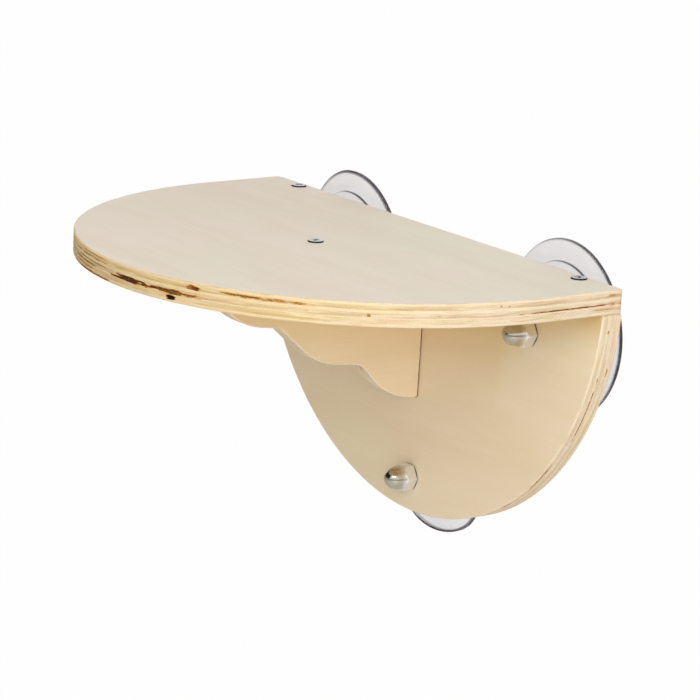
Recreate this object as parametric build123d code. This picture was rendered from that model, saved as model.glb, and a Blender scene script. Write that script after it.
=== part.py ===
from build123d import *
import math
import os

# Window mounted cat perch: a D-shaped plywood shelf on a half-round plywood back board,
# stiffened by one scalloped bracket, and held to a pane by three clear suction cups.
# Frame, in millimetres: X along the window, Y through the glass, Z up.
# The pane is the plane y = 0 with the room on the -Y side, and z = 0 is the shelf's top face.

# The three boards, all cut from one sheet
ply_thickness = 11.5
shelf_width = 295.0
shelf_depth = 190.0
shelf_corner_radius = 3.0
overall_height = 146.0
edge_easing = 0.7

# The gap from the back board's rear face to the pane, filled by the cups
window_gap = 11.0

# The bracket's scalloped lower edge: three lobes from the front to the back board,
# each steep as far as its knee and nearly level after it
bracket_nose = 7.0
bracket_nose_radius = 3.0
lobe_lengths = (42.3, 50.4, 36.0)
lobe_drops = (22.5, 24.0, 21.0)
lobe_knee_shares = (0.46, 0.86)
lobe_radius = 36.0
lobe_dip_radius = 7.0
bracket_easing = 0.5

# Where the cups and their studs sit: the upper pair in from the shelf's ends and below its top
upper_stud_inset = 56.0
upper_stud_drop = 32.0
lower_stud_rise = 18.0

# Suction cups in clear vinyl
upper_cup_radius = 44.0
lower_cup_radius = 33.0
cup_hub_radius = 14.0
cup_dish_depth = 5.0
cup_lip_thickness = 1.8
cup_lip_width = 1.4
cup_flange_thickness = 1.6
cup_step_height = 1.2
cup_step_share = 0.75
cup_fillet = 0.4

# M8 studs, moulded into the cups by their heads
stud_radius = 4.0
stud_head_radius = 10.0
stud_head_thickness = 2.0
stud_end_chamfer = 0.8
stud_moulding_clearance = 0.1
stud_hole_clearance = 0.1
stud_thread_clearance = 0.05

# M8 cap nuts
nut_across_flats = 13.0
nut_hex_height = 6.5
nut_height = 15.0
nut_dome_radius = 6.25
nut_bore_depth = 11.0
nut_seat_chamfer_angle = 30.0
nut_top_chamfer_angle = 45.0
stud_end_space = 1.0

# Countersunk cross-recess wood screws
screw_length = 40.0
screw_shank_radius = 2.0
screw_head_radius = 4.0
screw_head_rim = 0.3
screw_tip_length = 6.0
screw_tip_radius = 0.3
screw_recess_span = 4.6
screw_recess_width = 1.1
screw_recess_depth = 1.5
screw_clearance = 0.05
end_screw_inset = 27.5
middle_screw_distance = 76.0
# Heights of the two bracket screws as shares of the bracket's back edge, from its top
bracket_screw_shares = (0.32, 0.74)

# How far cutting tools run past a face
overrun = 1.0

rear_y = -window_gap
board_front_y = rear_y - ply_thickness
half_width = shelf_width / 2
bracket_height = bracket_nose + sum(lobe_drops)


def shelf_outline():
    """The D seen from above: a straight rear edge, short square sides and a half circle."""
    side_y = rear_y - (shelf_depth - half_width)
    front = (0, rear_y - shelf_depth)
    sides = Polyline(
        (-half_width, side_y), (-half_width, rear_y), (half_width, rear_y), (half_width, side_y)
    )
    round_front = ThreePointArc((half_width, side_y), front, (-half_width, side_y))
    face = make_face(sides + round_front)
    return fillet(face.vertices().group_by(Axis.Y)[-1], shelf_corner_radius)


def screw_places():
    """Top of each wood screw's axis and the turn that points it: shelf screws down, bracket screws forward."""
    end_x = half_width - end_screw_inset
    edge_y = rear_y - ply_thickness / 2
    places = {
        "shelf_screw_left": Pos(-end_x, edge_y, 0),
        "shelf_screw_right": Pos(end_x, edge_y, 0),
        "shelf_screw_middle": Pos(0, rear_y - middle_screw_distance, 0),
    }
    for name, share in zip(("bracket_screw_upper", "bracket_screw_lower"), bracket_screw_shares):
        places[name] = Pos(0, rear_y, -ply_thickness - share * bracket_height) * Rot(-90, 0, 0)
    return places


def screw_blank(clearance, above):
    """A wood screw without its recess, pointing down from z = 0, grown all round by a clearance."""
    shank = screw_shank_radius + clearance
    head = screw_head_radius + clearance
    cone_end = -screw_head_rim - (head - shank)
    tip_start = -(screw_length - screw_tip_length)
    profile = Polyline(
        (0, above),
        (head, above),
        (head, -screw_head_rim),
        (shank, cone_end),
        (shank, tip_start),
        (screw_tip_radius + clearance, -screw_length - clearance),
        (0, -screw_length - clearance),
        close=True,
    )
    return revolve(Plane.XZ * make_face(profile), Axis.Z)


def wood_screw():
    """A countersunk screw whose head is flush with the wood, with a cross recess."""
    recess = Sketch()
    for turn in (0, 90):
        recess += Rot(0, 0, turn) * Rectangle(screw_recess_span, screw_recess_width)
    return screw_blank(0, 0) - extrude(recess, -screw_recess_depth)


def drill_screws(board, names):
    """Cuts the countersunk hole of each named screw out of a board."""
    for name in names:
        board -= screw_places()[name] * screw_blank(screw_clearance, overrun)
    return board


def shelf_board():
    """The shelf: the D-shaped board with its long edges eased and three screws let in flush."""
    board = extrude(shelf_outline(), -ply_thickness)
    rims = board.faces().sort_by(Axis.Z)[-1].outer_wire().edges()
    rims += board.faces().sort_by(Axis.Z)[0].outer_wire().edges()
    board = fillet(rims, edge_easing)
    return drill_screws(board, ("shelf_screw_left", "shelf_screw_right", "shelf_screw_middle"))


def stud_places():
    """Centre of each stud on the plane of the pane, with the rim radius of its cup."""
    side = half_width - upper_stud_inset
    return {
        "left": (Pos(-side, 0, -upper_stud_drop), upper_cup_radius),
        "right": (Pos(side, 0, -upper_stud_drop), upper_cup_radius),
        "lower": (Pos(0, 0, lower_stud_rise - overall_height), lower_cup_radius),
    }


def back_board():
    """The half-round board under the shelf's rear edge, bored for three studs and five screws."""
    centre_z = half_width - overall_height
    chord = math.sqrt(half_width**2 - (centre_z + ply_thickness) ** 2)
    top = Line((-chord, -ply_thickness), (chord, -ply_thickness))
    round_edge = ThreePointArc((chord, -ply_thickness), (0, -overall_height), (-chord, -ply_thickness))
    face = Plane.XZ * make_face(top + round_edge)
    board = Pos(0, rear_y, 0) * extrude(face, ply_thickness)
    curves = board.edges().filter_by(GeomType.CIRCLE)
    board = fillet(curves, edge_easing)
    hole = Rot(90, 0, 0) * Cylinder(
        stud_radius + stud_hole_clearance, ply_thickness + 2 * overrun
    )
    for place, _ in stud_places().values():
        board -= Pos(0, rear_y - ply_thickness / 2, 0) * place * hole
    names = [name for name in screw_places() if name != "shelf_screw_middle"]
    return drill_screws(board, names)


def bracket():
    """The upright gusset: square against the shelf and the back board, scalloped below."""
    y = board_front_y - sum(lobe_lengths)
    z = -ply_thickness - bracket_nose
    along_share, down_share = lobe_knee_shares
    corners = [(y, -ply_thickness), (y, z)]
    radii = [bracket_nose_radius]
    for length, drop in zip(lobe_lengths, lobe_drops):
        corners += [(y + length * along_share, z - drop * down_share), (y + length, z - drop)]
        radii += [lobe_radius, lobe_dip_radius]
        y += length
        z -= drop
    scallop = FilletPolyline(*corners, radius=radii[:-1])
    straight = Polyline(corners[-1], (board_front_y, -ply_thickness), corners[0])
    gusset = extrude(Plane.YZ * make_face(scallop + straight), ply_thickness / 2, both=True)
    lowest_top = -ply_thickness - bracket_easing
    rearmost = board_front_y - bracket_easing
    lower_edges = gusset.faces().filter_by(Axis.X).edges().filter_by(
        lambda edge: edge.center().Z < lowest_top and edge.center().Y < rearmost
    )
    gusset = fillet(lower_edges, bracket_easing)
    names = ("shelf_screw_middle", "bracket_screw_upper", "bracket_screw_lower")
    return drill_screws(gusset, names)


def stud_blank(clearance):
    """A stud on the Y axis: a flat head buried in the cup's hub, and a shank that points to the room."""
    hub_thickness = window_gap - cup_dish_depth
    cover = (hub_thickness - stud_head_thickness) / 2
    head_front = rear_y + cover
    shank_end = board_front_y - nut_bore_depth + stud_end_space
    head = Pos(0, head_front + stud_head_thickness / 2, 0) * Rot(90, 0, 0) * Cylinder(
        stud_head_radius + clearance, stud_head_thickness + 2 * clearance
    )
    shank_length = head_front - shank_end
    shank = Pos(0, shank_end + shank_length / 2, 0) * Rot(90, 0, 0) * Cylinder(
        stud_radius + clearance, shank_length
    )
    return head, shank


def cup_stud():
    """The M8 stud, its thread drawn as the cylinder it turns in, its free end chamfered."""
    head, shank = stud_blank(0)
    free_end = shank.edges().sort_by(Axis.Y)[0]
    return head + chamfer(free_end, stud_end_chamfer)


def suction_cup(rim_radius):
    """A turned skirt: flat hub on the board, thick cone out to a step, thin flange, flat lip on the pane."""
    step_radius = rim_radius * cup_step_share
    flange_run = rim_radius - cup_lip_width - step_radius
    flange_back = -cup_dish_depth * (1 - cup_step_share) * (1 + cup_step_share) / 2
    flange_front = flange_back - cup_flange_thickness
    skirt_middle = (cup_hub_radius + step_radius) / 2
    skirt_front = (rear_y + flange_front - cup_step_height) / 2
    front = Polyline((0, rear_y), (cup_hub_radius, rear_y))
    cone = Spline(
        (cup_hub_radius, rear_y),
        (skirt_middle, skirt_front - cup_fillet),
        (step_radius, flange_front - cup_step_height),
    )
    flange = Polyline(
        (step_radius, flange_front - cup_step_height),
        (step_radius, flange_front),
        (rim_radius, -cup_lip_thickness),
        (rim_radius, 0),
        (rim_radius - cup_lip_width, 0),
    )
    dish = Spline(
        (rim_radius - cup_lip_width, 0),
        (step_radius, flange_back),
        (0, -cup_dish_depth),
        tangents=((-flange_run, flange_back), (-1, 0)),
    )
    axis_side = Line((0, -cup_dish_depth), (0, rear_y))
    profile = make_face(front + cone + flange + dish + axis_side)
    rounded = profile.vertices().filter_by(lambda v: v.X > cup_hub_radius - cup_fillet)
    cup = revolve(fillet(rounded, cup_fillet), Axis.Y)
    head, shank = stud_blank(stud_moulding_clearance)
    return cup - head - shank


def cap_nut():
    """A domed hexagon nut on the Y axis, seated on the back board, bored blind for the stud."""
    hexagon = RegularPolygon(nut_across_flats / 2, side_count=6, major_radius=False)
    prism = extrude(hexagon, nut_hex_height)
    corner_radius = nut_across_flats / 2 / math.cos(math.pi / 6)
    corner_reach = corner_radius - nut_across_flats / 2
    seat_drop = corner_reach * math.tan(math.radians(nut_seat_chamfer_angle))
    top_drop = corner_reach * math.tan(math.radians(nut_top_chamfer_angle))
    turned = Polyline(
        (0, 0),
        (nut_across_flats / 2, 0),
        (corner_radius, seat_drop),
        (corner_radius, nut_hex_height - top_drop),
        (nut_across_flats / 2, nut_hex_height),
        (0, nut_hex_height),
        close=True,
    )
    prism = prism & revolve(Plane.XZ * make_face(turned), Axis.Z)
    neck_length = nut_height - nut_dome_radius
    neck = Pos(0, 0, neck_length / 2) * Cylinder(nut_dome_radius, neck_length)
    dome = Pos(0, 0, neck_length) * Sphere(nut_dome_radius)
    bore = Cylinder(stud_radius + stud_thread_clearance, 2 * nut_bore_depth)
    nut = prism + neck + dome - bore
    return Pos(0, board_front_y, 0) * Rot(90, 0, 0) * nut


nodes = {"shelf_board": shelf_board(), "back_board": back_board(), "bracket": bracket()}
for side, (place, rim_radius) in stud_places().items():
    nodes["suction_cup_" + side] = place * suction_cup(rim_radius)
    nodes["cup_stud_" + side] = place * cup_stud()
    nodes["cap_nut_" + side] = place * cap_nut()
for name, place in screw_places().items():
    nodes[name] = place * wood_screw()

os.makedirs("parts", exist_ok=True)
for name, shape in nodes.items():
    export_step(shape, f"parts/{name}.step")
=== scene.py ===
import math
from functools import partial

import bpy
import numpy as np
from mathutils import Matrix, Vector, geometry


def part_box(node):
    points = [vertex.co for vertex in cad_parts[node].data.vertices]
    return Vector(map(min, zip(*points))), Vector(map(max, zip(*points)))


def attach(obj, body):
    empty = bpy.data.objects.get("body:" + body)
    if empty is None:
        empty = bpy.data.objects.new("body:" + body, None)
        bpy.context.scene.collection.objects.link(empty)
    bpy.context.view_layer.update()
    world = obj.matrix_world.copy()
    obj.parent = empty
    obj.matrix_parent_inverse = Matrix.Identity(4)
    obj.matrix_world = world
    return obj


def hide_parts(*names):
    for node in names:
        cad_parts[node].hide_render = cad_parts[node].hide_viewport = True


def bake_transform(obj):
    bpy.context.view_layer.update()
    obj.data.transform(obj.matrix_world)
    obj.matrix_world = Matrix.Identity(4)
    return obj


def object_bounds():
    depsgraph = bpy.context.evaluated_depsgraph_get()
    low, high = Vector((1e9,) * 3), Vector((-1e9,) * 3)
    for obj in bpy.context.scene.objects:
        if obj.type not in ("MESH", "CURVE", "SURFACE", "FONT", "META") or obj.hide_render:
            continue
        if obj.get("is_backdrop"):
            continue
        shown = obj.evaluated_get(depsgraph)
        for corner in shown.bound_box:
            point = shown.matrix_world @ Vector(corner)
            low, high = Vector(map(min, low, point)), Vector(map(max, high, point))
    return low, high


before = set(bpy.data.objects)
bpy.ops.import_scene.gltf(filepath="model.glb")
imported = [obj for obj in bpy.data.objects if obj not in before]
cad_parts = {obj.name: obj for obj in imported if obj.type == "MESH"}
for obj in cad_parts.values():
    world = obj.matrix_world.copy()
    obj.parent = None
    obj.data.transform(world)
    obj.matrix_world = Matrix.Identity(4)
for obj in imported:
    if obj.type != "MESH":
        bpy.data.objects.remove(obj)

# A window mounted cat perch, in metres. X runs along the window, Y through the pane and Z up.
# The pane is the plane y = 0 with the room on the -Y side, and z = 0 is the shelf's top face.
cad_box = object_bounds()

# The shelf is a D sawn from a sheet of bare seven ply birch, sanded, with its edges eased by hand.
# Its rim shows every ply, with dark streaks and open holes where an inner ply had a knot in it.
# Three screws go down through it, two into the back board and one into the bracket.
mm = 0.001
shelf_low, shelf_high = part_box("shelf_board")
ply_thickness = shelf_high.z - shelf_low.z
half_width = shelf_high.x
rear_y = shelf_high.y
round_centre_y = shelf_low.y + half_width
shelf_corner_radius = 3 * mm
screw_head_radius = 4 * mm
screw_shank_radius = 2 * mm
screw_head_rim = 0.3 * mm
screw_clearance = 0.05 * mm
edge_easing = 0.7 * mm
easing_rings = 6
along_step = 0.8 * mm
across_step = 0.26 * mm
lattice_step = 7 * mm
hole_sides = 48
# Points closer than the first are one point, and in a face those closer than the second
same_point = 1e-9
face_weld = 1e-7
# The relief of an edge: how far each noise reaches along it and across it, and how high it is. The
# fibres of a sunk ply stand higher, by a share of how far it is sunk.
fibre_reach = (5 * mm, 0.2 * mm)
fibre_height = 0.012 * mm
sunk_fibre_share = 0.3
sway_reach = (30 * mm, 3 * mm)
sway_height = 0.03 * mm
# How full the flat topped patch of a flaw is, and the noise that tears its outline
flaw_fullness = 1.1
torn_reach = (1.5 * mm, 0.26 * mm)
torn_share = 0.4
# The plies from the top face down: where each ends as a share of the thickness, its colour at its
# upper and at its lower side, and in mm how far sanding has left it below its neighbours
shelf_plies = (
    (0.12, "#e6d8be", "#eadfca", 0),
    (0.28, "#d9c6a7", "#c6b192", 0.05),
    (0.42, "#e9ddc8", "#e7dac4", 0),
    (0.59, "#d8c8b0", "#c8b49c", 0.06),
    (0.66, "#e8dbc6", "#e8dbc6", 0),
    (0.85, "#dac9ae", "#d2bfa2", 0.05),
    (1, "#e8dbcb", "#dfcfba", 0),
)
# Where along the rim, from the middle of the rear edge, the sapwood starts and ends its fading
shelf_yellow_run = (510 * mm, 640 * mm)
# Each flaw in the rim: its direction from the centre of the half circle in degrees, then in mm its
# depth below the top face, length, height and how far it is sunk, and last how dark it is
shelf_flaws = (
    (-84, 6.5, 40, 2.9, 0.1, 0.95),
    (-75.5, 6.5, 26, 2.6, 0.1, 0.75),
    (-69.5, 6.6, 14, 1.7, 0.1, 0.6),
    (-69, 2.4, 8.5, 2.4, 0.15, 0.8),
    (-53.6, 2.6, 50, 1.5, 0.1, 0.46),
    (-58.5, 2.2, 26, 1.2, 0.1, 0.62),
    (-74.2, 9.4, 5.6, 2.2, 1.6, 2),
    (-46.4, 5.7, 0.9, 1.5, 0.1, 0.4),
    (-35.3, 5.8, 2, 1.5, 0.3, 0.6),
    (-22.5, 5.7, 1.3, 1.2, 0.15, 0.45),
    (-10.9, 2, 1.2, 0.9, 0.15, 0.5),
    (-9.2, 2.4, 1.2, 1.1, 0.15, 0.5),
    (4, 6.4, 62, 0.7, 0.05, 0.72),
    (13.4, 6.2, 5, 1.5, 0.1, 0.7),
    (14, 2.3, 11, 1.4, 0.1, 0.34),
    (12, 8.6, 14, 0.6, 0.05, 0.4),
    (-100, 1.3, 38, 0.55, 0.05, 0.5),
    (-103, 3.1, 50, 0.65, 0.05, 0.62),
    (-100, 5, 40, 0.6, 0.05, 0.56),
    (-105, 6.8, 46, 0.7, 0.05, 0.66),
    (-106, 8.6, 48, 0.6, 0.05, 0.6),
    # The lowest thin line on the left, along the lower face, is painted shade
    (-101, 10.5, 62, 0.8, 0.05, 0.66),
    (-136, 5.9, 22, 1.1, 0.15, 0.4),
    (-160, 2.6, 9, 1.2, 0.2, 0.5),
    (60, 6, 38, 1.4, 0.2, 0.6),
    (112, 2.4, 16, 1.3, 0.2, 0.7),
    (128, 9.2, 4, 1.4, 1, 1.8),
)


def fill_gaps(path, step):
    """A path without doubled points, and with each stretch over a step long cut into equal pieces."""
    apart = np.linalg.norm(path[1:] - path[:-1], axis=1) > same_point
    path = np.concatenate((path[:1], path[1:][apart]))
    gaps = path[1:] - path[:-1]
    counts = np.maximum(1, np.ceil(np.linalg.norm(gaps, axis=1) / step - same_point).astype(int))
    owner = np.repeat(np.arange(len(gaps)), counts)
    share = (np.arange(len(owner)) - np.repeat(np.cumsum(counts) - counts, counts)) / counts[owner]
    return np.concatenate((path[owner] + gaps[owner] * share[:, None], path[-1:]))


def rounded_path(corners, radii, step):
    """A path from the first corner to the last, with each corner between them rounded.

    Where the path turns by an angle t, the arc of radius r starts r tan(t / 2) before the corner,
    sweeps t about a centre square to the line it starts from, and ends on the next line. It has
    three pieces or more, and no point is further than a step from the next.
    """
    corners = np.array(corners, float)
    path = [corners[:1]]
    for before, here, after, radius in zip(corners, corners[1:], corners[2:], radii):
        into = (here - before) / np.linalg.norm(here - before)
        out = (after - here) / np.linalg.norm(after - here)
        turn = math.atan2(into[0] * out[1] - into[1] * out[0], into @ out)
        start = here - into * radius * abs(math.tan(turn / 2))
        arm = math.copysign(radius, turn) * np.array((into[1], -into[0]))
        count = max(3, math.ceil(radius * abs(turn) / step)) if radius > 0 else 0
        angles = turn * np.linspace(0, 1, count + 1)[:, None]
        path.append(start - arm + arm * np.cos(angles) + np.array((-arm[1], arm[0])) * np.sin(angles))
    return fill_gaps(np.concatenate(path + [corners[-1:]]), step)


def smooth_step(value, start, end):
    """0 before start and 1 after end, with 3t^2 - 2t^3 in between."""
    t = np.clip((value - start) / (end - start), 0, 1)
    return t * t * (3 - 2 * t)


def edge_noise(rows, columns, reach, seed):
    """Random values over the grid of an edge, blurred by a Gaussian that wraps round both ways.

    The blur is a product in frequency space, exp(-2 (pi reach f)^2) along each axis with the reach
    in cells, and the result is scaled to a spread of 1.
    """
    rough = np.fft.fft2(np.random.default_rng(seed).normal(size=(rows, columns)))
    along = np.exp(-2 * (math.pi * (reach[0] / along_step) * np.fft.fftfreq(rows)) ** 2)
    across = np.exp(-2 * (math.pi * (reach[1] / across_step) * np.fft.fftfreq(columns)) ** 2)
    smooth = np.fft.ifft2(rough * along[:, None] * across[None, :]).real
    return smooth / smooth.std()


def ring_quads(first, sides, columns):
    """The quads of a grid stored side after side from the first index, closed round to its first side."""
    here = first + np.arange(sides)[:, None] * columns + np.arange(columns - 1)
    ahead = first + (np.arange(sides)[:, None] + 1) % sides * columns + np.arange(columns - 1)
    return np.stack((here, ahead, ahead + 1, here + 1), -1).reshape(-1, 4)


def put_mesh(name, points, groups, materials):
    """A mesh object from points and groups of polygons, each with a material's index and smooth or not.

    The volume within is the sum of a . (b x c) / 6 over the triangles. If it comes out negative,
    every polygon is turned round, so that the faces point outwards.
    """
    volume = 0
    for polygons, _, _ in groups:
        for k in range(1, polygons.shape[1] - 1):
            a, b, c = (points[polygons[:, i]] for i in (0, k, k + 1))
            volume += np.einsum("ij,ij->", a, np.cross(b, c)) / 6
    turned = [polygons if volume > 0 else polygons[:, ::-1] for polygons, _, _ in groups]
    sizes = np.concatenate([np.full(len(polygons), polygons.shape[1]) for polygons in turned])
    corners = np.concatenate([polygons.ravel() for polygons in turned])
    mesh = bpy.data.meshes.new(name)
    mesh.vertices.add(len(points))
    mesh.vertices.foreach_set("co", points.astype(np.float32).ravel())
    mesh.loops.add(len(corners))
    mesh.loops.foreach_set("vertex_index", corners.astype(np.int32))
    mesh.polygons.add(len(sizes))
    mesh.polygons.foreach_set("loop_start", (np.cumsum(sizes) - sizes).astype(np.int32))
    kinds = np.concatenate([np.full(len(polygons), kind) for polygons, kind, _ in groups])
    smooth = np.concatenate([np.full(len(polygons), soft) for polygons, _, soft in groups])
    mesh.polygons.foreach_set("material_index", kinds.astype(np.int32))
    mesh.polygons.foreach_set("use_smooth", smooth.astype(bool))
    mesh.update(calc_edges=True)
    for material in materials:
        mesh.materials.append(material)
    made = bpy.data.objects.new(name, mesh)
    bpy.context.scene.collection.objects.link(made)
    return made


def flaws_in(loop, centre, depths, flaws, seed):
    """How flawed each point of an edge is, from 0 for sound, and how far it is sunk, in metres.

    A flaw is the patch fullness - |u|^3 - |v|^3, with u and v in shares of its half length and
    half height, plus the noise that tears its outline, and then steepened.
    """
    turns = np.arctan2(loop[:, 1] - centre[1], loop[:, 0] - centre[0])
    reach = np.linalg.norm(loop - np.array(centre), axis=1)
    torn = torn_share * edge_noise(len(loop), len(depths), torn_reach, seed)
    dark, sunk = np.zeros((2, len(loop), len(depths)))
    for turn, depth, length, height, sink, strength in flaws:
        swing = (turns - math.radians(turn) + math.pi) % (2 * math.pi) - math.pi
        u = np.abs(swing * reach)[:, None] / (length * mm / 2)
        v = np.abs(depths - depth * mm)[None, :] / (height * mm / 2)
        patch = smooth_step(flaw_fullness - u**3 - v**3 + torn, 0, 1)
        dark = np.maximum(dark, patch * strength)
        sunk = np.maximum(sunk, patch * sink * mm)
    return dark, sunk


def inner_lattice(loop, holes):
    """A square lattice inside a closed outline, clear of it and of the holes.

    By the even-odd rule a point is inside where a line from it to the right crosses the outline an
    odd number of times. Its distance is taken to every fourth point of the outline.
    """
    low, high = loop.min(0), loop.max(0)
    columns = np.arange(low[0] + lattice_step / 2, high[0], lattice_step)
    rows = np.arange(low[1] + lattice_step / 2, high[1], lattice_step)
    lattice = np.stack(np.meshgrid(columns, rows), -1).reshape(-1, 2)
    ahead = np.roll(loop, -1, axis=0)
    crossing = (loop[:, 1] > lattice[:, 1:]) != (ahead[:, 1] > lattice[:, 1:])
    rise = np.where(ahead[:, 1] == loop[:, 1], 1, ahead[:, 1] - loop[:, 1])
    meeting = loop[:, 0] + (lattice[:, 1:] - loop[:, 1]) / rise * (ahead[:, 0] - loop[:, 0])
    inside = (crossing & (lattice[:, :1] < meeting)).sum(1) % 2 == 1
    nearest = np.linalg.norm(lattice[:, None] - loop[::4], axis=2).min(1)
    lattice = lattice[inside & (nearest > lattice_step / 2)]
    for centre, rings in holes:
        clear = rings[:, 0].max() + lattice_step / 3
        lattice = lattice[np.linalg.norm(lattice - centre, axis=1) > clear]
    return lattice


def board_mesh(name, loop, centre, plies, flaws, holes, place, materials, seed):
    """A plywood board: its outline carried across the thickness, and both faces filled in.

    The edge is a grid of (along the outline, across the thickness): a quarter round of the easing
    joins it to each face, the plies stand a few hundredths of a millimetre high and low, noise
    roughs it, and the flaws sink into it. A hole is its centre and the radius and depth of each of
    its rings, turned into a grid. A face is the constrained triangulation of the outline, the rims
    of the holes and the lattice. place turns (first, second, depth) into a point.
    """
    area = loop[:, 0] * np.roll(loop[:, 1], -1) - loop[:, 1] * np.roll(loop[:, 0], -1)
    loop = loop if area.sum() > 0 else loop[::-1]
    tangent = np.roll(loop, -1, axis=0) - np.roll(loop, 1, axis=0)
    normal = np.stack((tangent[:, 1], -tangent[:, 0]), -1)
    normal /= np.linalg.norm(normal, axis=1)[:, None]
    quarter = np.linspace(0, math.pi / 2, easing_rings)
    ease, inset = edge_easing * (1 - np.cos(quarter)), edge_easing * (1 - np.sin(quarter))
    count = round(ply_thickness / across_step)
    flat = np.linspace(edge_easing, ply_thickness - edge_easing, count)[1:-1]
    depths = np.concatenate((ease, flat, ply_thickness - ease[::-1]))
    inset = np.concatenate((inset, 0 * flat, inset[::-1]))
    n, m = len(loop), len(depths)
    dark, sunk = flaws_in(loop, centre, depths, flaws, seed)
    ends = np.array([ply[0] for ply in plies]) * ply_thickness
    low = np.array([ply[3] for ply in plies])[np.searchsorted(ends[:-1], depths)] * mm
    fibre = edge_noise(n, m, fibre_reach, seed + 1) * (fibre_height + sunk_fibre_share * low)
    sway = edge_noise(n, m, sway_reach, seed + 2) * sway_height
    fade = np.clip(np.minimum(depths, ply_thickness - depths) / edge_easing, 0, 1)
    away = inset + fade * (sunk + low + fibre + sway)
    outline = loop[:, None] - normal[:, None] * away[:, :, None]
    points = [place(outline[..., 0], outline[..., 1], np.broadcast_to(depths, (n, m))).reshape(-1, 3)]
    rims = ([np.arange(n) * m], [np.arange(n) * m + m - 1])
    flat_rims = ([outline[:, 0]], [outline[:, -1]])
    edge_quads = ring_quads(0, n, m)
    walls = []
    total = n * m
    turns = np.linspace(0, 2 * math.pi, hole_sides, endpoint=False)
    circle = np.stack((np.cos(turns), np.sin(turns)), -1)
    for middle, rings in holes:
        wall = middle + circle[:, None] * rings[None, :, :1]
        across = np.broadcast_to(rings[:, 1], wall.shape[:2])
        points.append(place(wall[..., 0], wall[..., 1], across).reshape(-1, 3))
        walls.append(ring_quads(total, hole_sides, len(rings))[:, ::-1])
        for side in (0, 1):
            rims[side].append(total + np.arange(hole_sides) * len(rings) - side * (1 - len(rings)))
            flat_rims[side].append(wall[:, -side])
        total += hole_sides * len(rings)
    lattice = inner_lattice(loop, holes)
    faces = []
    for side in (0, 1):
        known = np.concatenate(rims[side] + [total + np.arange(len(lattice))])
        flat_points = np.concatenate(flat_rims[side] + [lattice])
        rim_sizes = [len(rim) for rim in rims[side]]
        rim_starts = np.cumsum([0] + rim_sizes)
        edges = []
        for start, size in zip(rim_starts, rim_sizes):
            edges += [(start + k, start + (k + 1) % size) for k in range(size)]
        found = geometry.delaunay_2d_cdt([Vector(p) for p in flat_points], edges, [], 1, face_weld)
        triangles = np.array(found[2])
        middles = flat_points[triangles].mean(1)
        for middle, rings in holes:
            open_radius = rings[-side, 0] * math.cos(math.pi / hole_sides)
            outside = np.linalg.norm(middles - middle, axis=1) > open_radius
            triangles, middles = triangles[outside], middles[outside]
        points.append(place(lattice[:, 0], lattice[:, 1], np.full(len(lattice), side * ply_thickness)))
        total += len(lattice)
        faces.append(known[triangles if side else triangles[:, ::-1]])
    walls = np.concatenate(walls) if walls else np.zeros((0, 4), int)
    groups = ((edge_quads, 1, True), (walls, 1, True), (faces[0], 0, False), (faces[1], 2, False))
    made = put_mesh(name, np.concatenate(points), groups, materials)
    run = np.concatenate(((0,), np.cumsum(np.linalg.norm(np.roll(loop, -1, axis=0) - loop, axis=1))))
    rim_map = np.zeros((total, 2))
    rim_map[:n * m] = np.stack(np.broadcast_arrays(run[:-1, None], depths), -1).reshape(-1, 2)
    owner = np.zeros(len(made.data.loops), np.int32)
    made.data.loops.foreach_get("vertex_index", owner)
    corner_map = rim_map[owner]
    last = slice(4 * (n - 1) * (m - 1), 4 * n * (m - 1))
    corner_map[last, 0] = np.where(owner[last] < m, run[-1], corner_map[last, 0])
    made.data.uv_layers.new(name="rim").data.foreach_set("uv", corner_map.astype(np.float32).ravel())
    flaw_and_shade = np.zeros(total, np.float32)
    flaw_and_shade[:n * m] = dark.ravel()
    made.data.attributes.new("flaw_and_shade", "FLOAT", "POINT").data.foreach_set("value", flaw_and_shade)
    return made


def linear(shade):
    """An sRGB hex colour made linear: ((c + 0.055) / 1.055)^2.4, or c / 12.92 where c is under 0.04."""
    parts = [int(shade[k:k + 2], 16) / 255 for k in (1, 3, 5)]
    return tuple(c / 12.92 if c <= 0.04045 else ((c + 0.055) / 1.055) ** 2.4 for c in parts) + (1.0,)


def add_node(tree, kind, sockets=None, stops=None, **settings):
    """Adds one shader node with its settings, its ramp's stops and its sockets.

    A socket gets a value, another node's output, or a node, which stands for its first output.
    """
    made = tree.nodes.new("ShaderNode" + kind)
    for name, value in settings.items():
        setattr(made, name, value)
    if stops:
        elements = made.color_ramp.elements
        elements.remove(elements[-1])
        elements[0].position, elements[0].color = stops[0][0], linear(stops[0][1])
        for position, shade in stops[1:]:
            elements.new(position).color = linear(shade)
    for name, value in (sockets or {}).items():
        if isinstance(value, bpy.types.Node):
            value = value.outputs[0]
        if isinstance(value, bpy.types.NodeSocket):
            tree.links.new(value, made.inputs[name])
        else:
            made.inputs[name].default_value = value
    return made


def new_material(name):
    """An empty material, and the function that adds a node to it."""
    made = bpy.data.materials.new(name)
    made.use_nodes = True
    made.node_tree.nodes.clear()
    return made, partial(add_node, made.node_tree)


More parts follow.
